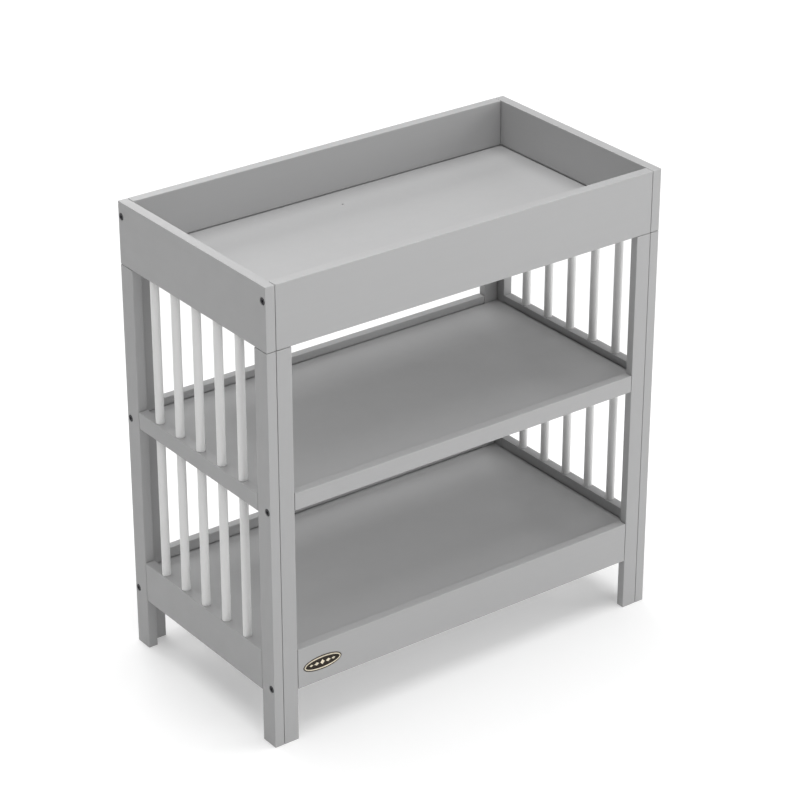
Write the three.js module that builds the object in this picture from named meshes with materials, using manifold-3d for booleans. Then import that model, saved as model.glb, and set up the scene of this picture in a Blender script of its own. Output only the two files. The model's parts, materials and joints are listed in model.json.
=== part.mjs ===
// Baby changing table in painted wood: a raised-edge tray on two slatted end frames, with two open shelves.
// Millimetres. X runs along the table, Y from its front to its back and Z up, from the floor under its middle.
import * as THREE from "three";
import { mergeVertices } from "three/addons/utils/BufferGeometryUtils.js";
import Module from "manifold-3d";

// Whole table
const tableLength = 900;
const tableDepth = 478;
const tableHeight = 940;
const fitGap = 0.3; // between pieces that touch
const seamGap = 1; // at the butt joints that show

// Boards of the ends and of the tray
const boardThickness = 20;
const trayBoardHeight = 126;
const trayFloorDrop = 95; // from the rim down to the tray floor

// Front and rear frames
const faceThickness = 18;
const battenWidth = 33;
const midRailBottom = 486;
const midRailHeight = 35;
const apronBottom = 109;
const apronHeight = 84;

// End frames
const stileWidth = 39;
const slatDiameter = 17;
const slatPitch = 69.6;
const slatsPerRow = 5;
const slatTenonDiameter = 10;
const slatTenonLength = 10;
const railTenonThickness = 8;
const railTenonLength = 20;
const railTenonShoulder = 6; // wood left above and below it
const stileTenonWidth = 25;
const stileTenonLength = 12;

// Tray floor and shelves
const panelThickness = 12;
const panelGap = 1; // shadow gap round each panel
const tongueLength = 2.5; // how far a panel's edge reaches into the frame
const tongueDrop = 2; // from the panel's face down to its tongue
const grooveDepth = 3;
const grooveRoom = 2; // from the panel's face up to the groove's top
const midShelfDrop = 16; // from the rail's top edge down to the shelf
const baseShelfDrop = 22;
const ledgeWidth = 12;
const baseCleatHeight = 20;
const strapHoleDiameter = 4.5;
const strapHoleFromMiddle = 162;

// Bolts
const boltInset = 9.5; // from the table's front or rear face
const boltHeadDiameter = 14;
const boltHeadHeight = 3.7;
const boltHeadSunk = 0.5; // below the end's outer face
const headChamfer = 0.8;
const boltShankDiameter = 6;
const shankChamfer = 0.8;
const counterboreDiameter = 15;
const shankHoleDiameter = 6.8;
const insertHoleDiameter = 8.6; // in the end grain, for a threaded insert
const longBoltReach = 26; // into a rail's end
const trayBoltReach = 34;
const socketAcross = 5;
const socketDepth = 2.5;
const trayBoltHeight = tableHeight - 29;
const shelfBoltHeight = 496;
const baseBoltHeight = 124;

// Oval plate on the front apron
const plateLength = 86;
const plateHeight = 30;
const plateThickness = 1.5;
const plateFromMiddle = -341;
const plateCentreHeight = 148;

// Sides of the round shapes
const dowelSides = 16;
const boltSides = 24;
const counterboreSides = 32;
const plateSides = 48;

const trayBottom = tableHeight - trayBoardHeight;
const midRailTop = midRailBottom + midRailHeight;
const apronTop = apronBottom + apronHeight;
const trayFloorTop = tableHeight - trayFloorDrop;
const midShelfTop = midRailTop - midShelfDrop;
const baseShelfTop = apronTop - baseShelfDrop;
const counterboreDepth = boltHeadSunk + boltHeadHeight + fitGap;
const innerLength = tableLength - 2 * boardThickness; // between the end frames
const faceRailLength = innerLength - 2 * (battenWidth + seamGap);
const endRailLength = tableDepth - 2 * (stileWidth + seamGap);
const trayWidth = tableDepth - 2 * boardThickness; // inside

const framePaint = new THREE.MeshStandardMaterial({ color: 0xb9b9ba, roughness: 0.55, metalness: 0 });
const panelPaint = new THREE.MeshStandardMaterial({ color: 0xb4b4b5, roughness: 0.6, metalness: 0 });
const slatPaint = new THREE.MeshStandardMaterial({ color: 0xf2f1ee, roughness: 0.45, metalness: 0 });
const blackSteel = new THREE.MeshStandardMaterial({ color: 0x17171a, roughness: 0.4, metalness: 0.8 });
const agedBrass = new THREE.MeshStandardMaterial({ color: 0x6d6350, roughness: 0.4, metalness: 0.9 });

const wasm = await Module();
wasm.setup();

function solidOf(geometry) {
  const plain = geometry.index ? geometry.toNonIndexed() : geometry.clone();
  plain.deleteAttribute("normal");
  plain.deleteAttribute("uv");
  const merged = mergeVertices(plain);
  const vertProperties = merged.attributes.position.array;
  const triVerts = new Uint32Array(merged.index.array);
  return new wasm.Manifold(new wasm.Mesh({ numProp: 3, vertProperties, triVerts }));
}

function geometryOf(solid) {
  const { vertProperties, triVerts } = solid.getMesh();
  const made = new THREE.BufferGeometry();
  made.setAttribute("position", new THREE.BufferAttribute(vertProperties, 3));
  made.setIndex(new THREE.BufferAttribute(triVerts, 1));
  const faceted = made.toNonIndexed();
  faceted.computeVertexNormals();
  return faceted;
}

const cut = (body, tools) => geometryOf(tools.reduce((left, tool) => left.subtract(solidOf(tool)), solidOf(body)));
const join = (pieces) => geometryOf(pieces.map(solidOf).reduce((whole, piece) => whole.add(piece)));

// A block from its lowest corner to its highest.
function block([x0, y0, z0], [x1, y1, z1]) {
  return new THREE.BoxGeometry(x1 - x0, y1 - y0, z1 - z0).translate((x0 + x1) / 2, (y0 + y1) / 2, (z0 + z1) / 2);
}

function roundBarX(diameter, x0, x1, y, z, sides = dowelSides) {
  const bar = new THREE.CylinderGeometry(diameter / 2, diameter / 2, x1 - x0, sides);
  return bar.rotateZ(-Math.PI / 2).translate((x0 + x1) / 2, y, z);
}

function roundBarZ(diameter, z0, z1, x, y) {
  const bar = new THREE.CylinderGeometry(diameter / 2, diameter / 2, z1 - z0, dowelSides);
  return bar.rotateX(Math.PI / 2).translate(x, y, (z0 + z1) / 2);
}

// A body of revolution about Y, from [radius, height] pairs.
function turned(profile, sides) {
  const points = profile.map(([radius, height]) => new THREE.Vector2(radius, height));
  return new THREE.LatheGeometry(points, sides);
}

function place(group, name, geometry, material, x = 0, y = 0, z = 0) {
  const mesh = new THREE.Mesh(geometry, material);
  mesh.name = name;
  mesh.position.set(x, y, z);
  group.add(mesh);
}

const slatPlaces = Array.from({ length: slatsPerRow }, (_, i) => (i - (slatsPerRow - 1) / 2) * slatPitch);

// Drilled holes for one row of slat tenons, in an edge at height z; the slats leave it upwards (1) or downwards (-1).
function slatHoles(z, direction) {
  const deep = z - direction * (slatTenonLength + 1);
  const past = z + direction;
  return slatPlaces.map((y) =>
    roundBarZ(slatTenonDiameter + 2 * fitGap, Math.min(deep, past), Math.max(deep, past), boardThickness / 2, y),
  );
}

function slat(length) {
  const body = slatDiameter / 2;
  const tenon = slatTenonDiameter / 2;
  const end = length + slatTenonLength;
  const below = [[0, -slatTenonLength], [tenon, -slatTenonLength], [tenon, 0], [body, 0]];
  const above = [[body, length], [tenon, length], [tenon, end], [0, end]];
  return turned([...below, ...above], dowelSides).rotateX(Math.PI / 2);
}

// Counterbore and clearance hole of a bolt whose head is in the outer face, x = 0.
function boltHole(y, z) {
  return [
    roundBarX(counterboreDiameter, -1, counterboreDepth, y, z, counterboreSides),
    roundBarX(shankHoleDiameter, counterboreDepth - 1, boardThickness + 1, y, z),
  ];
}

// A socket-head bolt along X, with the head's outer face at x = 0.
function bolt(shankLength) {
  const head = boltHeadDiameter / 2;
  const shank = boltShankDiameter / 2;
  const tip = boltHeadHeight + shankLength;
  const headProfile = [[0, 0], [head - headChamfer, 0], [head, headChamfer], [head, boltHeadHeight]];
  const shankProfile = [[shank, boltHeadHeight], [shank, tip - shankChamfer], [shank - shankChamfer, tip], [0, tip]];
  const body = turned([...headProfile, ...shankProfile], boltSides);
  const socketRadius = socketAcross / Math.sqrt(3);
  const socket = new THREE.CylinderGeometry(socketRadius, socketRadius, 2 * socketDepth, 6);
  return cut(body, [socket]).rotateZ(-Math.PI / 2);
}

const tenonInset = (boardThickness - railTenonThickness) / 2; // wood left on both sides of a tenon

// The groove that takes a panel's edge, in an end piece's inner face (along Y) or a long-side piece's (along X).
function grooveAlongY(length, panelTop) {
  const low = panelTop - panelThickness - fitGap;
  const face = boardThickness;
  return block([face - grooveDepth, -length / 2, low], [face + 1, length / 2, panelTop + grooveRoom]);
}

function grooveAlongX(face, panelTop) {
  const low = panelTop - panelThickness - fitGap;
  const half = innerLength / 2;
  return block([-half, face - grooveDepth, low], [half, face + 1, panelTop + grooveRoom]);
}

// The tenon of an end rail, or with an allowance the mortise that takes it.
function railTenon(bottom, top, y0, y1, allowance) {
  const x = tenonInset - allowance;
  const low = bottom + railTenonShoulder - allowance;
  const high = top - railTenonShoulder + allowance;
  return block([x, y0, low], [boardThickness - x, y1, high]);
}

function endRail(bottom, top, panelTop, holes) {
  const half = endRailLength / 2;
  const tip = half + railTenonLength;
  const bar = block([0, -half, bottom], [boardThickness, half, top]);
  const tenons = railTenon(bottom, top, -tip, tip, 0);
  return cut(join([bar, tenons]), [grooveAlongY(tableDepth, panelTop), ...holes]);
}

// The tenon on a stile's top, or with an allowance the mortise in the end board's bottom edge.
function stileTenon(side, z0, z1, allowance) {
  const middle = side * (tableDepth / 2 - stileWidth / 2);
  const half = stileTenonWidth / 2 + allowance;
  const x = tenonInset - allowance;
  return block([x, middle - half, z0], [boardThickness - x, middle + half, z1]);
}

// side is -1 for y below 0 and 1 for y above 0
function stile(side) {
  const outer = side * (tableDepth / 2);
  const inner = side * (tableDepth / 2 - stileWidth);
  const top = trayBottom - seamGap;
  const post = block([0, Math.min(outer, inner), 0], [boardThickness, Math.max(outer, inner), top]);
  const body = join([post, stileTenon(side, top - 1, top + stileTenonLength, 0)]);
  const mouth = inner - side;
  const deep = inner + side * (railTenonLength + fitGap);
  const mortise = (bottom, railTop) =>
    railTenon(bottom, railTop, Math.min(mouth, deep), Math.max(mouth, deep), fitGap);
  const boltY = side * (tableDepth / 2 - boltInset);
  return cut(body, [
    mortise(midRailBottom, midRailTop),
    mortise(apronBottom, apronTop),
    ...boltHole(boltY, shelfBoltHeight),
    ...boltHole(boltY, baseBoltHeight),
  ]);
}

function endBoard() {
  const half = tableDepth / 2;
  const board = block([0, -half, trayBottom], [boardThickness, half, tableHeight]);
  const sides = [-1, 1];
  const tenonTop = trayBottom + stileTenonLength + fitGap;
  return cut(board, [
    ...sides.map((side) => stileTenon(side, trayBottom - 1, tenonTop, fitGap)),
    ...sides.flatMap((side) => boltHole(side * (half - boltInset), trayBoltHeight)),
    ...slatHoles(trayBottom, -1),
    grooveAlongY(trayWidth, trayFloorTop),
  ]);
}

// One slatted end. x = 0 is its outer face and x grows inwards; near and far name its two long-side corners.
function endFrame(name, near, far) {
  const group = new THREE.Group();
  const midRailHoles = [...slatHoles(midRailBottom, -1), ...slatHoles(midRailTop, 1)];
  place(group, `${name}_tray_end_board`, endBoard(), framePaint);
  place(group, `${name}_mid_rail`, endRail(midRailBottom, midRailTop, midShelfTop, midRailHoles), framePaint);
  const bottomRail = endRail(apronBottom, apronTop, baseShelfTop, slatHoles(apronTop, 1));
  place(group, `${name}_bottom_rail`, bottomRail, framePaint);
  const rows = [
    ["upper", midRailTop + fitGap, trayBottom - fitGap],
    ["lower", apronTop + fitGap, midRailBottom - fitGap],
  ];
  for (const [row, bottom, top] of rows) {
    slatPlaces.forEach((y, i) => {
      const slatName = `${name}_${row}_slat_${i + 1}`;
      place(group, slatName, slat(top - bottom), slatPaint, boardThickness / 2, y, bottom);
    });
  }
  const trayShank = boardThickness - counterboreDepth + fitGap + trayBoltReach;
  const longShank = boardThickness - counterboreDepth + fitGap + battenWidth + longBoltReach;
  const bolts = [
    ["tray", trayBoltHeight, trayShank],
    ["shelf", shelfBoltHeight, longShank],
    ["base", baseBoltHeight, longShank],
  ];
  for (const [corner, side] of [[near, -1], [far, 1]]) {
    place(group, `${name}_${corner}_stile`, stile(side), framePaint);
    for (const [level, z, shank] of bolts) {
      const boltName = `${name}_${corner}_${level}_bolt`;
      place(group, boltName, bolt(shank), blackSteel, boltHeadSunk, side * (tableDepth / 2 - boltInset), z);
    }
  }
  return group;
}

// Blind holes for the threaded inserts in both ends of a rail or board.
function insertHoles(length, z, reach) {
  const end = length / 2;
  return [
    roundBarX(insertHoleDiameter, -end - 1, -end + reach + 1, boltInset, z),
    roundBarX(insertHoleDiameter, end - reach - 1, end + 1, boltInset, z),
  ];
}

function faceRail(bottom, top) {
  const half = faceRailLength / 2;
  return block([-half, 0, bottom], [half, faceThickness, top]);
}

// The mid rail is milled with a ledge along its inner bottom edge, which carries the shelf.
function ledgedRail() {
  const half = faceRailLength / 2;
  const ledgeTop = midShelfTop - panelThickness - fitGap;
  const ledge = block([-half, faceThickness - 1, midRailBottom], [half, faceThickness + ledgeWidth, ledgeTop]);
  const section = join([faceRail(midRailBottom, midRailTop), ledge]);
  const groove = grooveAlongX(faceThickness, midShelfTop);
  return cut(section, [groove, ...insertHoles(faceRailLength, shelfBoltHeight, longBoltReach)]);
}

function batten(x0, x1) {
  const bar = block([x0, 0, 0], [x1, faceThickness, trayBottom - seamGap]);
  const holes = [shelfBoltHeight, baseBoltHeight].map((z) =>
    roundBarX(shankHoleDiameter, x0 - 1, x1 + 1, boltInset, z),
  );
  return cut(bar, holes);
}

function ovalPlate(allowance, thickness) {
  const oval = new THREE.CylinderGeometry(1, 1, thickness, plateSides);
  return oval.scale(plateLength / 2 + allowance, 1, plateHeight / 2 + allowance);
}

// One long side. y = 0 is its outer face and y grows inwards; lowX and highX name its two corners.
function faceFrame(name, lowX, highX, withPlate) {
  const group = new THREE.Group();
  const trayBoardLength = innerLength - 2 * seamGap;
  const trayBoard = block(
    [-trayBoardLength / 2, 0, trayBottom],
    [trayBoardLength / 2, boardThickness, tableHeight],
  );
  const trayCuts = insertHoles(trayBoardLength, trayBoltHeight, trayBoltReach);
  trayCuts.push(grooveAlongX(boardThickness, trayFloorTop));
  place(group, `${name}_tray_board`, cut(trayBoard, trayCuts), framePaint);
  place(group, `${name}_mid_rail`, ledgedRail(), framePaint);
  const apronCuts = insertHoles(faceRailLength, baseBoltHeight, longBoltReach);
  apronCuts.push(grooveAlongX(faceThickness, baseShelfTop));
  if (withPlate) {
    const recess = ovalPlate(fitGap + 0.1, 2 * (plateThickness + fitGap));
    apronCuts.push(recess.translate(plateFromMiddle, 0, plateCentreHeight));
    const plate = ovalPlate(0, plateThickness);
    place(group, "badge_plate", plate, agedBrass, plateFromMiddle, plateThickness / 2, plateCentreHeight);
  }
  place(group, `${name}_apron`, cut(faceRail(apronBottom, apronTop), apronCuts), framePaint);
  const outer = innerLength / 2 - seamGap;
  const inner = innerLength / 2 - battenWidth;
  place(group, `${name}_${lowX}_batten`, batten(-outer, -inner), framePaint);
  place(group, `${name}_${highX}_batten`, batten(inner, outer), framePaint);
  const cleatHalf = innerLength / 2 - panelGap;
  const cleat = (y, z0, z1) => block([-cleatHalf, y, z0], [cleatHalf, y + ledgeWidth, z1]);
  const trayCleatTop = trayFloorTop - panelThickness - fitGap;
  const baseCleatTop = baseShelfTop - panelThickness - fitGap;
  place(group, `${name}_tray_cleat`, cleat(boardThickness + fitGap, trayBottom, trayCleatTop), framePaint);
  const baseCleat = cleat(faceThickness + fitGap, baseCleatTop - baseCleatHeight, baseCleatTop);
  place(group, `${name}_base_cleat`, baseCleat, framePaint);
  return group;
}

// A panel with its face at z = 0. Its tongues sit in grooves alongX and alongY long, and stop short of the legs.
function panel(wallThickness, alongX, alongY) {
  const wall = tableDepth / 2 - wallThickness;
  const slab = (x, y, top) => block([-x, -y, -panelThickness], [x, y, top]);
  return join([
    slab(innerLength / 2 - panelGap, wall - panelGap, 0),
    slab(innerLength / 2 + tongueLength, alongY / 2 - panelGap, -tongueDrop),
    slab(alongX / 2 - panelGap, wall + tongueLength, -tongueDrop),
  ]);
}

const table = new THREE.Group();

const leftEnd = endFrame("left", "front", "rear");
leftEnd.position.x = -tableLength / 2;
const rightEnd = endFrame("right", "rear", "front");
rightEnd.position.x = tableLength / 2;
rightEnd.rotation.z = Math.PI;
const frontFace = faceFrame("front", "left", "right", true);
frontFace.position.y = -tableDepth / 2;
const rearFace = faceFrame("rear", "right", "left", false);
rearFace.position.y = tableDepth / 2;
rearFace.rotation.z = Math.PI;
table.add(leftEnd, rightEnd, frontFace, rearFace);

const strapHoles = [-1, 1].map((side) =>
  roundBarZ(strapHoleDiameter, -panelThickness - 1, 1, 0, side * strapHoleFromMiddle),
);
const trayPanel = cut(panel(boardThickness, innerLength, trayWidth), strapHoles);
place(table, "tray_floor", trayPanel, panelPaint, 0, 0, trayFloorTop);
const shelfPanel = panel(faceThickness, faceRailLength, endRailLength);
place(table, "mid_shelf", shelfPanel, panelPaint, 0, 0, midShelfTop);
place(table, "base_shelf", shelfPanel.clone(), panelPaint, 0, 0, baseShelfTop);

export default table;
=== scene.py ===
import json
import math
import random

import bmesh
import bpy
from mathutils import Matrix, Vector


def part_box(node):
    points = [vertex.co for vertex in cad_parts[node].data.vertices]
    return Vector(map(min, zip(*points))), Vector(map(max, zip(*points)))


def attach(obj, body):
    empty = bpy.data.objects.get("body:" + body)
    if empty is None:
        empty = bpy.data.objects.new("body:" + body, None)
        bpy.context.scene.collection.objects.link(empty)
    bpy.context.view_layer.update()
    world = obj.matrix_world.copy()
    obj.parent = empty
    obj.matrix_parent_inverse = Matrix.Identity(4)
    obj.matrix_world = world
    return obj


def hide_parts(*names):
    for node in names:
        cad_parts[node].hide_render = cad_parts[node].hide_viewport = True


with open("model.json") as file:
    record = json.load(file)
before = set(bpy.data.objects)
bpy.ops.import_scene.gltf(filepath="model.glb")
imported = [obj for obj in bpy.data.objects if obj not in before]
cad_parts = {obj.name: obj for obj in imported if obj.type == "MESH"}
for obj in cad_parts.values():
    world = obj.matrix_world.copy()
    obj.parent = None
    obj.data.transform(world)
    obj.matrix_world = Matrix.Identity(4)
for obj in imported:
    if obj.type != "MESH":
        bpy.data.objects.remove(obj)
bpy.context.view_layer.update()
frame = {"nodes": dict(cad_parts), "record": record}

slotOf = {part["node"]: part["material_slot"] for part in frame["record"]["subparts"]}
mm = 0.001
print("frame loaded:", len(frame["nodes"]), "CAD parts")


cameraView = {"place": (-2.9314, -3.9578, 2.9867), "aim": (0.0155, -0.0005, 0.4874), "lens": 129.17}


def placeCamera():
    data = bpy.data.cameras.new("studioCamera")
    data.lens = cameraView["lens"]
    data.clip_end = 200
    camera = bpy.data.objects.new("studioCamera", data)
    camera.location = cameraView["place"]
    line = Vector(cameraView["aim"]) - Vector(cameraView["place"])
    camera.rotation_euler = line.to_track_quat("-Z", "Y").to_euler()
    bpy.context.scene.collection.objects.link(camera)
    bpy.context.scene.camera = camera
    bpy.context.scene.view_settings.view_transform = "Standard"


# the floor glows a little under the table (near), hardly at all around it, and turns white further out (far)
floorLook = {"size": 60, "shade": (0.78, 0.78, 0.78), "roughness": 0.7,
             "near": {"From Min": 0.64, "From Max": 1.6, "To Min": 0.27, "To Max": 0.14},
             "far": {"From Min": 1.4, "From Max": 6, "To Min": 0, "To Max": 0.6}}


def layFloor():
    bm = bmesh.new()
    bmesh.ops.create_grid(bm, x_segments=1, y_segments=1, size=floorLook["size"] / 2)
    mesh = bpy.data.meshes.new("studioFloor")
    bm.to_mesh(mesh)
    bm.free()
    floor = bpy.data.objects.new("studioFloor", mesh)
    bpy.context.scene.collection.objects.link(floor)
    material = bpy.data.materials.new("paleFloor")
    material.use_nodes = True
    shader = material.node_tree.nodes["Principled BSDF"]
    shader.inputs["Base Color"].default_value = (*floorLook["shade"], 1)
    shader.inputs["Roughness"].default_value = floorLook["roughness"]
    shader.inputs["Specular IOR Level"].default_value = 0.1
    shader.inputs["Emission Color"].default_value = (1, 1, 1, 1)
    tree = material.node_tree
    place = tree.nodes.new("ShaderNodeTexCoord")
    distance = tree.nodes.new("ShaderNodeVectorMath")
    distance.operation = "LENGTH"
    tree.links.new(place.outputs["Object"], distance.inputs[0])
    total = tree.nodes.new("ShaderNodeMath")
    for term, key in enumerate(("near", "far")):
        fade = tree.nodes.new("ShaderNodeMapRange")
        fade.interpolation_type = "SMOOTHSTEP"
        for name, value in floorLook[key].items():
            fade.inputs[name].default_value = value
        tree.links.new(distance.outputs["Value"], fade.inputs["Value"])
        tree.links.new(fade.outputs["Result"], total.inputs[term])
    tree.links.new(total.outputs[0], shader.inputs["Emission Strength"])
    mesh.materials.append(material)


# each softbox: where it hangs, what it points at, its width and height in metres, and its watts
softboxes = {
    "overhead": {"place": (0, 0, 5), "aim": (0, 0, 0.5), "size": (5, 5), "watts": 216},
    "highFront": {"place": (0, -3.5, 4.2), "aim": (0, 0, 0.5), "size": (4, 3), "watts": 20},
    "lowFront": {"place": (0.8, -5.5, 2), "aim": (0, 0, 0.5), "size": (5, 3), "watts": 86},
    "highLeft": {"place": (-3.2, -0.6, 4.2), "aim": (0, 0, 0.5), "size": (4, 3), "watts": 30},
    "right": {"place": (5, -2.5, 2.6), "aim": (0, 0, 0.5), "size": (4, 3), "watts": 112},
    "back": {"place": (0.5, 5, 3.4), "aim": (0, 0, 0.5), "size": (4, 3), "watts": 152},
}
roomGlow = {"shade": (1, 1, 1), "strength": 0.1}


def hangLights():
    world = bpy.data.worlds.new("studioRoom")
    world.use_nodes = True
    glow = world.node_tree.nodes["Background"]
    glow.inputs["Color"].default_value = (*roomGlow["shade"], 1)
    glow.inputs["Strength"].default_value = roomGlow["strength"]
    bpy.context.scene.world = world
    for name, box in softboxes.items():
        data = bpy.data.lights.new(name + "Softbox", "AREA")
        data.shape = "RECTANGLE"
        data.size, data.size_y = box["size"]
        data.energy = box["watts"]
        lamp = bpy.data.objects.new(name + "Softbox", data)
        lamp.location = box["place"]
        line = Vector(box["aim"]) - Vector(box["place"])
        lamp.rotation_euler = line.to_track_quat("-Z", "Y").to_euler()
        bpy.context.scene.collection.objects.link(lamp)


placeCamera()
layFloor()
hangLights()
print("camera, floor and", len(softboxes), "softboxes placed")


# how fine each texture is: in the wood, in the coat of paint, and on the metals
textureScale = {"ridge": 9, "pore": 46, "cloud": 3.1, "smear": 24, "peel": 620,
                "speckle": 900, "grit": 1400, "blotch": 260}
bumpHeight = {"grain": 0.12 * mm, "peel": 0.05 * mm, "speckle": 0.02 * mm, "grit": 0.03 * mm}
edgeHighlightPaling = 0.05  # how much paler the coat is painted on an eased edge: partly thinner paint there, partly a painted highlight


def newSocket(group, name, kind, way, value=None):
    made = group.interface.new_socket(name=name, in_out=way, socket_type=kind)
    if value is not None:
        made.default_value = value


def addNode(tree, kind, values=(), **settings):
    node = tree.nodes.new(kind)
    for name, value in settings.items():
        setattr(node, name, value)
    for name, value in dict(values).items():
        node.inputs[name].default_value = value
    return node


def makeGrainGroup():
    # long soft ridges with finer pores between them; Stretch sets how long they run on each axis
    group = bpy.data.node_groups.new("woodGrain", "ShaderNodeTree")
    newSocket(group, "Vector", "NodeSocketVector", "INPUT")
    newSocket(group, "Stretch", "NodeSocketVector", "INPUT", (1, 1, 1))
    newSocket(group, "Ridge", "NodeSocketFloat", "OUTPUT")
    newSocket(group, "Pore", "NodeSocketFloat", "OUTPUT")
    link = group.links.new
    inside, outside = addNode(group, "NodeGroupInput"), addNode(group, "NodeGroupOutput")
    stretched = addNode(group, "ShaderNodeVectorMath", operation="MULTIPLY")
    ridge = addNode(group, "ShaderNodeTexNoise", {"Detail": 5, "Roughness": 0.55, "Distortion": 0.4})
    pore = addNode(group, "ShaderNodeTexNoise", {"Detail": 3, "Roughness": 0.6})
    link(inside.outputs["Vector"], stretched.inputs[0])
    link(inside.outputs["Stretch"], stretched.inputs[1])
    for texture, name in ((ridge, "Ridge"), (pore, "Pore")):
        texture.inputs["Scale"].default_value = textureScale[name.lower()]
        link(stretched.outputs[0], texture.inputs["Vector"])
        link(texture.outputs["Fac"], outside.inputs[name])
    return group


def makePaintGroup(grainGroup):
    # a sprayed coat over wood: cloudy tone, faint grain showing through, orange peel, and eased edges painted
    # paler, partly for thinner paint and partly as a painted highlight
    group = bpy.data.node_groups.new("paintCoat", "ShaderNodeTree")
    for name, kind, value in (
        ("Vector", "NodeSocketVector", (0, 0, 0)),
        ("Stretch", "NodeSocketVector", (1, 1, 1)),
        ("Shade", "NodeSocketColor", (0.5, 0.5, 0.5, 1)),
        ("Tone", "NodeSocketFloat", 0),
        ("Edge", "NodeSocketFloat", 0),
        ("Cloud", "NodeSocketFloat", 0.03),
        ("Grain", "NodeSocketFloat", 0.02),
        ("Grain Depth", "NodeSocketFloat", 0.3),
        ("Peel Depth", "NodeSocketFloat", 0.15),
        ("Sheen", "NodeSocketFloat", 0.5),
    ):
        newSocket(group, name, kind, "INPUT", value)
    for name, kind in (("Color", "Color"), ("Roughness", "Float"), ("Normal", "Vector")):
        newSocket(group, name, "NodeSocket" + kind, "OUTPUT")
    link = group.links.new
    inside, outside = addNode(group, "NodeGroupInput"), addNode(group, "NodeGroupOutput")
    grain = addNode(group, "ShaderNodeGroup", node_tree=grainGroup)
    cloud = addNode(group, "ShaderNodeTexNoise", {"Detail": 3, "Roughness": 0.5})
    peel = addNode(group, "ShaderNodeTexNoise", {"Detail": 2, "Roughness": 0.45})
    smear = addNode(group, "ShaderNodeTexNoise", {"Detail": 4, "Roughness": 0.6})
    for texture, key in ((cloud, "cloud"), (peel, "peel"), (smear, "smear")):
        texture.inputs["Scale"].default_value = textureScale[key]
    link(inside.outputs["Stretch"], grain.inputs["Stretch"])
    for texture in (grain, cloud, peel, smear):
        link(inside.outputs["Vector"], texture.inputs["Vector"])

    def offCentre(value, amount):
        # amount times how far value lies from one half
        centred = addNode(group, "ShaderNodeMath", {1: 0.5}, operation="SUBTRACT")
        scaled = addNode(group, "ShaderNodeMath", operation="MULTIPLY")
        link(value, centred.inputs[0])
        link(centred.outputs[0], scaled.inputs[0])
        link(amount, scaled.inputs[1])
        return scaled.outputs[0]

    def plus(first, second):
        total = addNode(group, "ShaderNodeMath", operation="ADD")
        link(first, total.inputs[0])
        link(second, total.inputs[1])
        return total.outputs[0]

    def times(value, factor):
        product = addNode(group, "ShaderNodeMath", {1: factor}, operation="MULTIPLY")
        link(value, product.inputs[0])
        return product.outputs[0]

    tone = plus(offCentre(cloud.outputs["Fac"], inside.outputs["Cloud"]), inside.outputs["Tone"])
    tone = plus(tone, offCentre(grain.outputs["Ridge"], inside.outputs["Grain"]))
    # eased edges are painted paler here: partly thinner paint, partly a painted highlight
    tone = plus(tone, times(inside.outputs["Edge"], edgeHighlightPaling))
    lift = addNode(group, "ShaderNodeMath", {1: 1}, operation="ADD")
    link(tone, lift.inputs[0])
    shaded = addNode(group, "ShaderNodeVectorMath", operation="SCALE")
    link(inside.outputs["Shade"], shaded.inputs[0])
    link(lift.outputs[0], shaded.inputs["Scale"])
    link(shaded.outputs[0], outside.inputs["Color"])

    limits = {"From Min": 0.3, "From Max": 0.7, "To Min": -0.07, "To Max": 0.07}
    spread = addNode(group, "ShaderNodeMapRange", limits)
    link(smear.outputs["Fac"], spread.inputs["Value"])
    link(plus(inside.outputs["Sheen"], spread.outputs[0]), outside.inputs["Roughness"])

    ridges = plus(grain.outputs["Ridge"], times(grain.outputs["Pore"], 0.35))
    grainBump = addNode(group, "ShaderNodeBump", {"Distance": bumpHeight["grain"]})
    peelBump = addNode(group, "ShaderNodeBump", {"Distance": bumpHeight["peel"]})
    link(ridges, grainBump.inputs["Height"])
    link(inside.outputs["Grain Depth"], grainBump.inputs["Strength"])
    link(peel.outputs["Fac"], peelBump.inputs["Height"])
    link(inside.outputs["Peel Depth"], peelBump.inputs["Strength"])
    link(grainBump.outputs["Normal"], peelBump.inputs["Normal"])
    link(peelBump.outputs["Normal"], outside.inputs["Normal"])
    return group


grainGroup = makeGrainGroup()
paintGroup = makePaintGroup(grainGroup)

paints = {
    "frame_paint": {"shade": (0.38, 0.38, 0.382), "cloud": 0.03, "grain": 0.03,
                    "grainDepth": 0.30, "peelDepth": 0.2, "sheen": 0.48, "specular": 0.42},
    "panel_paint": {"shade": (0.39, 0.39, 0.392), "cloud": 0.035, "grain": 0.02,
                    "grainDepth": 0.12, "peelDepth": 0.25, "sheen": 0.55, "specular": 0.38},
    "slat_paint": {"shade": (0.77, 0.77, 0.765), "cloud": 0.02, "grain": 0.015,
                   "grainDepth": 0.2, "peelDepth": 0.2, "sheen": 0.42, "specular": 0.45},
}
grainStretch = {0: (0.6, 14, 14), 1: (14, 0.6, 14), 2: (14, 14, 0.6)}  # grain runs along x, y or z


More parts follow.
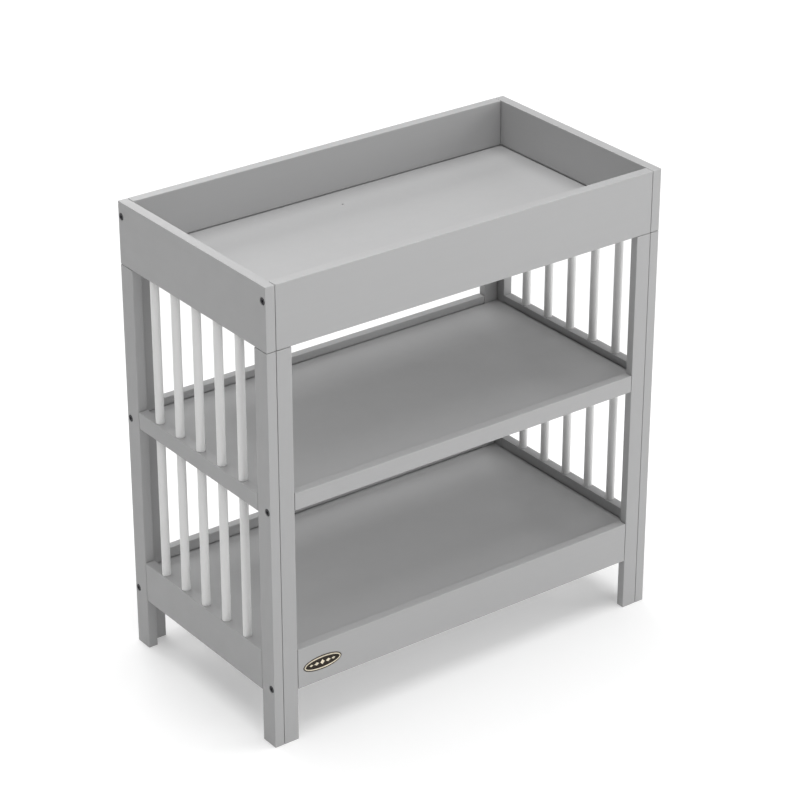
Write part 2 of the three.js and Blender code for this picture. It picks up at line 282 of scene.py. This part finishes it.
def makePaint(slot, axis):
    look = paints[slot]
    name = slot + "_" + "xyz"[axis]
    if name in bpy.data.materials:
        return bpy.data.materials[name]
    material = bpy.data.materials.new(name)
    material.use_nodes = True
    tree = material.node_tree
    shader = tree.nodes["Principled BSDF"]
    shader.inputs["Specular IOR Level"].default_value = look["specular"]
    place = addNode(tree, "ShaderNodeTexCoord")
    shift = addNode(tree, "ShaderNodeAttribute", attribute_name="boardShift")
    tone = addNode(tree, "ShaderNodeAttribute", attribute_name="boardTone")
    edge = addNode(tree, "ShaderNodeAttribute", attribute_name="easedEdge")
    moved = addNode(tree, "ShaderNodeVectorMath", operation="ADD")
    coat = addNode(tree, "ShaderNodeGroup", node_tree=paintGroup)
    coat.inputs["Shade"].default_value = (*look["shade"], 1)
    coat.inputs["Stretch"].default_value = grainStretch[axis]
    coat.inputs["Cloud"].default_value = look["cloud"]
    coat.inputs["Grain"].default_value = look["grain"]
    coat.inputs["Grain Depth"].default_value = look["grainDepth"]
    coat.inputs["Peel Depth"].default_value = look["peelDepth"]
    coat.inputs["Sheen"].default_value = look["sheen"]
    link = tree.links.new
    link(place.outputs["Object"], moved.inputs[0])
    link(shift.outputs["Vector"], moved.inputs[1])
    link(moved.outputs[0], coat.inputs["Vector"])
    link(tone.outputs["Fac"], coat.inputs["Tone"])
    link(edge.outputs["Fac"], coat.inputs["Edge"])
    link(coat.outputs["Color"], shader.inputs["Base Color"])
    link(coat.outputs["Roughness"], shader.inputs["Roughness"])
    link(coat.outputs["Normal"], shader.inputs["Normal"])
    return material


metals = {
    "bolt_steel": {"shade": (0.009, 0.009, 0.01), "metallic": 0.5, "specular": 0.2,
                   "roughness": 0.4, "mottle": 0.3},
    "insert_zinc": {"shade": (0.55, 0.53, 0.48), "metallic": 1, "specular": 0.5,
                    "roughness": 0.3, "mottle": 0.2},
}


def makeMetal(name):
    if name in bpy.data.materials:
        return bpy.data.materials[name]
    look = metals[name]
    material = bpy.data.materials.new(name)
    material.use_nodes = True
    tree = material.node_tree
    shader = tree.nodes["Principled BSDF"]
    shader.inputs["Metallic"].default_value = look["metallic"]
    shader.inputs["Specular IOR Level"].default_value = look["specular"]
    place = addNode(tree, "ShaderNodeTexCoord")
    speckle = addNode(tree, "ShaderNodeTexNoise", {"Scale": textureScale["speckle"], "Detail": 3})
    tint = addNode(tree, "ShaderNodeMix", data_type="RGBA")
    dark = [c * (1 - look["mottle"]) for c in look["shade"]]
    tint.inputs[6].default_value = (*dark, 1)
    tint.inputs[7].default_value = (*look["shade"], 1)
    smoothest, roughest = look["roughness"] - 0.08, look["roughness"] + 0.1
    rough = addNode(tree, "ShaderNodeMapRange", {"To Min": smoothest, "To Max": roughest})
    bump = addNode(tree, "ShaderNodeBump", {"Distance": bumpHeight["speckle"], "Strength": 0.4})
    link = tree.links.new
    link(place.outputs["Object"], speckle.inputs["Vector"])
    link(speckle.outputs["Fac"], tint.inputs[0])
    link(speckle.outputs["Fac"], rough.inputs["Value"])
    link(speckle.outputs["Fac"], bump.inputs["Height"])
    link(tint.outputs[2], shader.inputs["Base Color"])
    link(rough.outputs[0], shader.inputs["Roughness"])
    link(bump.outputs["Normal"], shader.inputs["Normal"])
    return material


print("finishes ready")


# long edges are rounded by ease, and the short ones round holes and small steps by rimEase
boardEdges = {"ease": 1.2 * mm, "rimEase": 0.3 * mm, "segments": 3, "rimSegments": 2, "shortest": 6 * mm,
              "leastAngle": math.radians(60), "toneSpread": 0.008, "patternShift": 5}
chance = random.Random(11)


def finishPiece(bm, name, materials, nodes, mark=True):
    mesh = bpy.data.meshes.new(name)
    for face in bm.faces:
        face.smooth = True
    bm.to_mesh(mesh)
    bm.free()
    for material in materials:
        mesh.materials.append(material)
    if mark:
        shift = mesh.attributes.new("boardShift", "FLOAT_VECTOR", "POINT")
        far = boardEdges["patternShift"]
        offset = [chance.uniform(-far, far) for _ in range(3)]
        shift.data.foreach_set("vector", offset * len(mesh.vertices))
        tone = mesh.attributes.new("boardTone", "FLOAT", "POINT")
        spread = boardEdges["toneSpread"]
        tone.data.foreach_set("value", [chance.uniform(-spread, spread)] * len(mesh.vertices))
    mesh.set_sharp_from_angle(angle=math.radians(50))
    piece = bpy.data.objects.new(name, mesh)
    bpy.context.scene.collection.objects.link(piece)
    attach(piece, "root")
    if nodes:
        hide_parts(*nodes)
    return piece


def longAxis(node):
    low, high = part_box(node)
    spans = list(high - low)
    return spans.index(max(spans))


def mergedCopy(node):
    bm = bmesh.new()
    bm.from_mesh(frame["nodes"][node].data)
    bmesh.ops.remove_doubles(bm, verts=bm.verts, dist=0.01 * mm)
    bmesh.ops.dissolve_limit(bm, angle_limit=math.radians(0.5), verts=bm.verts, edges=bm.edges)
    return bm


def sharpEdges(bm, long):
    found = []
    for edge in bm.edges:
        if len(edge.link_faces) != 2 or not edge.is_convex:
            continue
        sharp = edge.calc_face_angle() >= boardEdges["leastAngle"]
        if sharp and (edge.calc_length() > boardEdges["shortest"]) == long:
            found.append(edge)
    return found


def easeEdges(bm, edges, width, segments, mask):
    made = bmesh.ops.bevel(
        bm, geom=edges, offset=width, offset_type="OFFSET", affect="EDGES",
        segments=segments, profile=0.5, material=-1, clamp_overlap=False,
    )
    for face in made["faces"]:
        face[mask] = 1


def paintBoard(node):
    slot = slotOf[node]
    bm = mergedCopy(node)
    # the eased faces are marked so that the paint can lay a painted highlight on them
    mask = bm.faces.layers.float.new("easedEdge")
    easeEdges(bm, sharpEdges(bm, False), boardEdges["rimEase"], boardEdges["rimSegments"], mask)
    easeEdges(bm, sharpEdges(bm, True), boardEdges["ease"], boardEdges["segments"], mask)
    piece = finishPiece(bm, node + "_painted", [makePaint(slot, longAxis(node))], [node])
    weight = piece.modifiers.new("faceWeight", "WEIGHTED_NORMAL")
    weight.keep_sharp = True
    return piece


boards = [n for n in sorted(frame["nodes"]) if slotOf[n] in ("frame_paint", "panel_paint")]
for node in boards:
    paintBoard(node)
print(len(boards), "painted boards")


slatShape = {"radius": 8.5 * mm, "tenonRadius": 5 * mm, "tenonLength": 10 * mm,
             "shoulder": 0.35 * mm, "sides": 48}


def spinProfile(bm, points, centre, axis, sides, closed=False):
    corners = [bm.verts.new(Vector(p) + centre) for p in points]
    edges = [bm.edges.new(pair) for pair in zip(corners, corners[1:])]
    if closed:
        edges.append(bm.edges.new((corners[-1], corners[0])))
    bmesh.ops.spin(
        bm, geom=corners + edges, cent=centre, axis=axis, angle=math.tau, steps=sides, use_merge=True,
    )
    bmesh.ops.remove_doubles(bm, verts=bm.verts, dist=0.005 * mm)
    bmesh.ops.recalc_face_normals(bm, faces=bm.faces)


def quarterRound(radius, height, ease, up):
    # four points that round a shoulder at height, going outwards and up, or inwards when up is false
    points = []
    for step in range(4):
        turn = math.radians(30 * step)
        points.append((radius - ease + ease * math.sin(turn), ease - ease * math.cos(turn)))
    if up:
        return [(x, height + z) for x, z in points]
    return [(x, height - z) for x, z in reversed(points)]


def turnSlat(node):
    low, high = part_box(node)
    middle = (low + high) / 2
    tenon, ease = slatShape["tenonRadius"], slatShape["shoulder"]
    bottom, top = low.z + slatShape["tenonLength"], high.z - slatShape["tenonLength"]
    profile = [(0, low.z), (tenon - ease / 2, low.z), (tenon, low.z + ease / 2), (tenon, bottom)]
    profile += quarterRound(slatShape["radius"], bottom, ease, True)
    profile += quarterRound(slatShape["radius"], top, ease, False)
    profile += [(tenon, top), (tenon, high.z - ease / 2), (tenon - ease / 2, high.z), (0, high.z)]
    bm = bmesh.new()
    centre = Vector((middle.x, middle.y, 0))
    spinProfile(bm, [(x, 0, z) for x, z in profile], centre, (0, 0, 1), slatShape["sides"])
    slot = slotOf[node]
    return finishPiece(bm, node + "_turned", [makePaint(slot, 2)], [node])


slats = [n for n in sorted(frame["nodes"]) if slotOf[n] == "slat_paint"]
for node in slats:
    turnSlat(node)
print(len(slats), "turned slats")


boltShape = {"head": 7 * mm, "headHeight": 3.7 * mm, "round": 0.9 * mm, "shank": 3 * mm, "neck": 0.4 * mm,
             "tip": 0.8 * mm, "socketAcross": 5 * mm, "socketDepth": 2.5 * mm,
             "socketFlare": 0.3 * mm, "flareDepth": 0.25 * mm, "sides": 48}


def ringLoop(bm, sides, radius, height, corners=None):
    # a loop of edges on a circle, or on a polygon with that many corners
    count = corners or sides
    made = bmesh.ops.create_circle(bm, segments=count, radius=radius, cap_ends=False)["verts"]
    edges = list({edge for vert in made for edge in vert.link_edges})
    if corners:
        split = bmesh.ops.subdivide_edges(bm, edges=edges, cuts=sides // corners - 1)
        kept = {edge for edge in edges if edge.is_valid}
        edges = list(kept | {item for item in split["geom"] if isinstance(item, bmesh.types.BMEdge)})
        made = list({vert for edge in edges for vert in edge.verts})
    bmesh.ops.translate(bm, verts=made, vec=(0, 0, height))
    return edges


def stackLoops(bm, loops):
    # walls from each loop to the next, and a flat face across the last and the first
    for lower, upper in zip(loops, loops[1:]):
        bmesh.ops.bridge_loops(bm, edges=lower + upper)
    bmesh.ops.contextual_create(bm, geom=loops[-1])
    bmesh.ops.contextual_create(bm, geom=loops[0])
    bmesh.ops.recalc_face_normals(bm, faces=bm.faces)


def turnBolt(node):
    low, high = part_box(node)
    left = low.x < 0
    length = high.x - low.x
    sides, head, ease, shank = (boltShape[k] for k in ("sides", "head", "round", "shank"))
    socket = boltShape["socketAcross"] / math.sqrt(3)
    neck, tip = boltShape["neck"], boltShape["tip"]
    bm = bmesh.new()
    loops = [
        ringLoop(bm, sides, socket, boltShape["socketDepth"], 6),
        ringLoop(bm, sides, socket, boltShape["flareDepth"], 6),
        ringLoop(bm, sides, socket + boltShape["socketFlare"], 0, 6),
    ]
    loops.append(ringLoop(bm, sides, head - ease, 0))
    for turn in (30, 60, 90):
        angle = math.radians(turn)
        loops.append(ringLoop(bm, sides, head - ease + ease * math.sin(angle), ease - ease * math.cos(angle)))
    loops.append(ringLoop(bm, sides, head, boltShape["headHeight"]))
    loops.append(ringLoop(bm, sides, shank + neck, boltShape["headHeight"]))
    loops.append(ringLoop(bm, sides, shank, boltShape["headHeight"] + neck))
    loops.append(ringLoop(bm, sides, shank, length - tip))
    loops.append(ringLoop(bm, sides, shank - tip, length))
    stackLoops(bm, loops)
    turn = Matrix.Rotation(math.radians(90 if left else -90), 4, "Y")
    bmesh.ops.transform(bm, matrix=turn, verts=bm.verts)
    middle = (low + high) / 2
    bmesh.ops.translate(bm, verts=bm.verts, vec=(low.x if left else high.x, middle.y, middle.z))
    return finishPiece(bm, node + "_blacked", [makeMetal("bolt_steel")], [node], False)


bolts = [n for n in sorted(frame["nodes"]) if slotOf[n] == "bolt_steel"]
for node in bolts:
    turnBolt(node)


# a sleeve with sharp rings outside and a bore for the bolt, just inside each end of the long pieces
insertShape = {"outer": 4.15 * mm, "root": 3.75 * mm, "bore": 3.15 * mm, "length": 18 * mm,
               "rings": 9, "setBack": 0.4 * mm, "mouthEase": 0.4 * mm, "sides": 32}
boltOfPiece = {"tray_board": "tray", "mid_rail": "shelf", "apron": "base"}


def turnInsert(name, mouth, bolt, inwards):
    outer, root, bore = (insertShape[k] for k in ("outer", "root", "bore"))
    start, step = insertShape["setBack"], insertShape["length"] / insertShape["rings"]
    ease = insertShape["mouthEase"]
    points = [(start, bore + ease), (start, root)]
    for ring in range(insertShape["rings"]):
        at = start + ring * step
        points += [(at + 0.35 * step, root), (at + 0.6 * step, outer), (at + 0.85 * step, root)]
    end = start + insertShape["length"]
    points += [(end, root), (end, bore), (start + ease, bore)]
    bm = bmesh.new()
    low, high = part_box(bolt)
    middle = (low + high) / 2
    centre = Vector((mouth, middle.y, middle.z))
    spinProfile(bm, [(x * inwards, r, 0) for x, r in points], centre, (1, 0, 0), insertShape["sides"], True)
    return finishPiece(bm, name, [makeMetal("insert_zinc")], [], False)


for face in ("front", "rear"):
    for piece, level in boltOfPiece.items():
        low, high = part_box(face + "_" + piece)
        for end, mouth, inwards in (("left", low.x, 1), ("right", high.x, -1)):
            bolt = f"{end}_{face}_{level}_bolt"
            turnInsert(f"{face}_{end}_{piece}_insert", mouth, bolt, inwards)
print(len(bolts), "bolts and their threaded inserts")


screwShape = {"head": 3.9 * mm, "rim": 0.5 * mm, "dome": 2.1 * mm, "socket": 1.7 * mm, "depth": 1.3 * mm,
              "neck": 2 * mm, "neckLength": 4 * mm, "sides": 36, "perCleat": 5, "pitch": 180 * mm}


def driveScrew(name, x, y, z, towardsMiddle):
    # the head stands proud of the cleat, and the neck runs into it
    sides, head = screwShape["sides"], screwShape["head"]
    bm = bmesh.new()
    top = screwShape["dome"]
    loops = [
        ringLoop(bm, sides, screwShape["socket"], top - screwShape["depth"], 6),
        ringLoop(bm, sides, screwShape["socket"], top, 6),
        ringLoop(bm, sides, head * 0.62, top - 0.08 * mm),
        ringLoop(bm, sides, head * 0.84, top - 0.45 * mm),
        ringLoop(bm, sides, head * 0.97, screwShape["rim"] + 0.3 * mm),
        ringLoop(bm, sides, head, screwShape["rim"]),
        ringLoop(bm, sides, head, 0),
        ringLoop(bm, sides, screwShape["neck"], 0),
        ringLoop(bm, sides, screwShape["neck"], -screwShape["neckLength"]),
    ]
    stackLoops(bm, loops)
    turn = Matrix.Rotation(math.radians(90 if towardsMiddle < 0 else -90), 4, "X")
    bmesh.ops.transform(bm, matrix=turn, verts=bm.verts)
    bmesh.ops.translate(bm, verts=bm.verts, vec=(x, y, z))
    return finishPiece(bm, name, [makeMetal("insert_zinc")], [], False)


screwCount = 0
for face, towardsMiddle in (("front", 1), ("rear", -1)):
    for level in ("tray", "base"):
        low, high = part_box(face + "_" + level + "_cleat")
        y = high.y if towardsMiddle > 0 else low.y
        z = (low.z + high.z) / 2
        for number in range(screwShape["perCleat"]):
            x = (number - (screwShape["perCleat"] - 1) / 2) * screwShape["pitch"]
            screwCount += 1
            driveScrew(f"{face}_{level}_cleat_screw_{screwCount}", x, y, z, towardsMiddle)
print(screwCount, "cleat screws")


# each ring of the plate: how far in from the outline, how high over the back, and how brightly it is rubbed
plateShape = {
    "sides": 96,
    "rings": [
        (0, 0, 0), (0, 1.25, 0), (0.2, 1.6, 0), (0.6, 1.75, 0.1), (1.4, 1.75, 0.1), (1.8, 1.4, 0),
        (2.1, 1.4, 0), (2.35, 1.9, 0.9), (2.8, 2.15, 1), (3.4, 2.22, 1), (4, 2.15, 1), (4.45, 1.9, 0.9),
        (4.75, 1.3, 0), (5.2, 1.2, 0),
    ],
    "lozenges": [(0, 5.2, 6), (-13, 6, 3.8), (13, 6, 3.8), (-25, 4.6, 2.6), (25, 4.6, 2.6)],
    "lozengeHeight": 0.95,
}
plateLook = {"dark": (0.035, 0.028, 0.022), "bright": (0.86, 0.78, 0.62), "metallic": 0.85, "roughness": 0.34}


def makePlateMetal():
    material = bpy.data.materials.new("rubbedBrass")
    material.use_nodes = True
    tree = material.node_tree
    shader = tree.nodes["Principled BSDF"]
    shader.inputs["Metallic"].default_value = plateLook["metallic"]
    place = addNode(tree, "ShaderNodeTexCoord")
    rubbed = addNode(tree, "ShaderNodeAttribute", attribute_name="rubbed")
    grit = addNode(tree, "ShaderNodeTexNoise", {"Scale": textureScale["grit"], "Detail": 3})
    blotch = addNode(tree, "ShaderNodeTexNoise", {"Scale": textureScale["blotch"], "Detail": 2})
    wear = {"From Min": 0.3, "From Max": 0.62, "To Min": 0.7, "To Max": 1}
    worn = addNode(tree, "ShaderNodeMapRange", wear)
    amount = addNode(tree, "ShaderNodeMath", operation="MULTIPLY")
    tint = addNode(tree, "ShaderNodeMix", data_type="RGBA")
    tint.inputs[6].default_value = (*plateLook["dark"], 1)
    tint.inputs[7].default_value = (*plateLook["bright"], 1)
    dullest, brightest = plateLook["roughness"] + 0.2, plateLook["roughness"]
    rough = addNode(tree, "ShaderNodeMapRange", {"To Min": dullest, "To Max": brightest})
    bump = addNode(tree, "ShaderNodeBump", {"Distance": bumpHeight["grit"], "Strength": 0.5})
    link = tree.links.new
    link(place.outputs["Object"], grit.inputs["Vector"])
    link(place.outputs["Object"], blotch.inputs["Vector"])
    link(blotch.outputs["Fac"], worn.inputs["Value"])
    link(rubbed.outputs["Fac"], amount.inputs[0])
    link(worn.outputs["Result"], amount.inputs[1])
    link(amount.outputs[0], tint.inputs[0])
    link(tint.outputs[2], shader.inputs["Base Color"])
    link(amount.outputs[0], rough.inputs["Value"])
    link(rough.outputs["Result"], shader.inputs["Roughness"])
    link(grit.outputs["Fac"], bump.inputs["Height"])
    link(bump.outputs["Normal"], shader.inputs["Normal"])
    return material


def castPlate():
    low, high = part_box("badge_plate")
    middle = (low + high) / 2
    wide, tall = high.x - low.x, high.z - low.z
    bm = bmesh.new()
    rubbed = bm.verts.layers.float.new("rubbed")
    loops = []
    for inset, rise, shine in plateShape["rings"]:
        edges = ringLoop(bm, plateShape["sides"], 1, rise * mm)
        corners = {vert for edge in edges for vert in edge.verts}
        size = (wide / 2 - inset * mm, tall / 2 - inset * mm, 1)
        bmesh.ops.scale(bm, verts=list(corners), vec=size)
        for vert in corners:
            vert[rubbed] = shine
        loops.append(edges)
    stackLoops(bm, loops)
    field = plateShape["rings"][-1][1]
    for along, halfLength, halfHeight in plateShape["lozenges"]:
        height = plateShape["lozengeHeight"] * mm
        made = bmesh.ops.create_cone(
            bm, cap_ends=True, segments=4, radius1=1, radius2=0.3, depth=height,
        )["verts"]
        bmesh.ops.scale(bm, verts=made, vec=(halfLength * mm, halfHeight * mm, 1))
        bmesh.ops.translate(bm, verts=made, vec=(along * mm, 0, (field - 0.1) * mm + height / 2))
        for vert in made:
            vert[rubbed] = 1
    bmesh.ops.recalc_face_normals(bm, faces=bm.faces)
    bmesh.ops.transform(bm, matrix=Matrix.Rotation(math.radians(90), 4, "X"), verts=bm.verts)
    bmesh.ops.translate(bm, verts=bm.verts, vec=(middle.x, high.y, middle.z))
    return finishPiece(bm, "badge_plate_cast", [makePlateMetal()], ["badge_plate"], False)


castPlate()
print("oval plate cast")
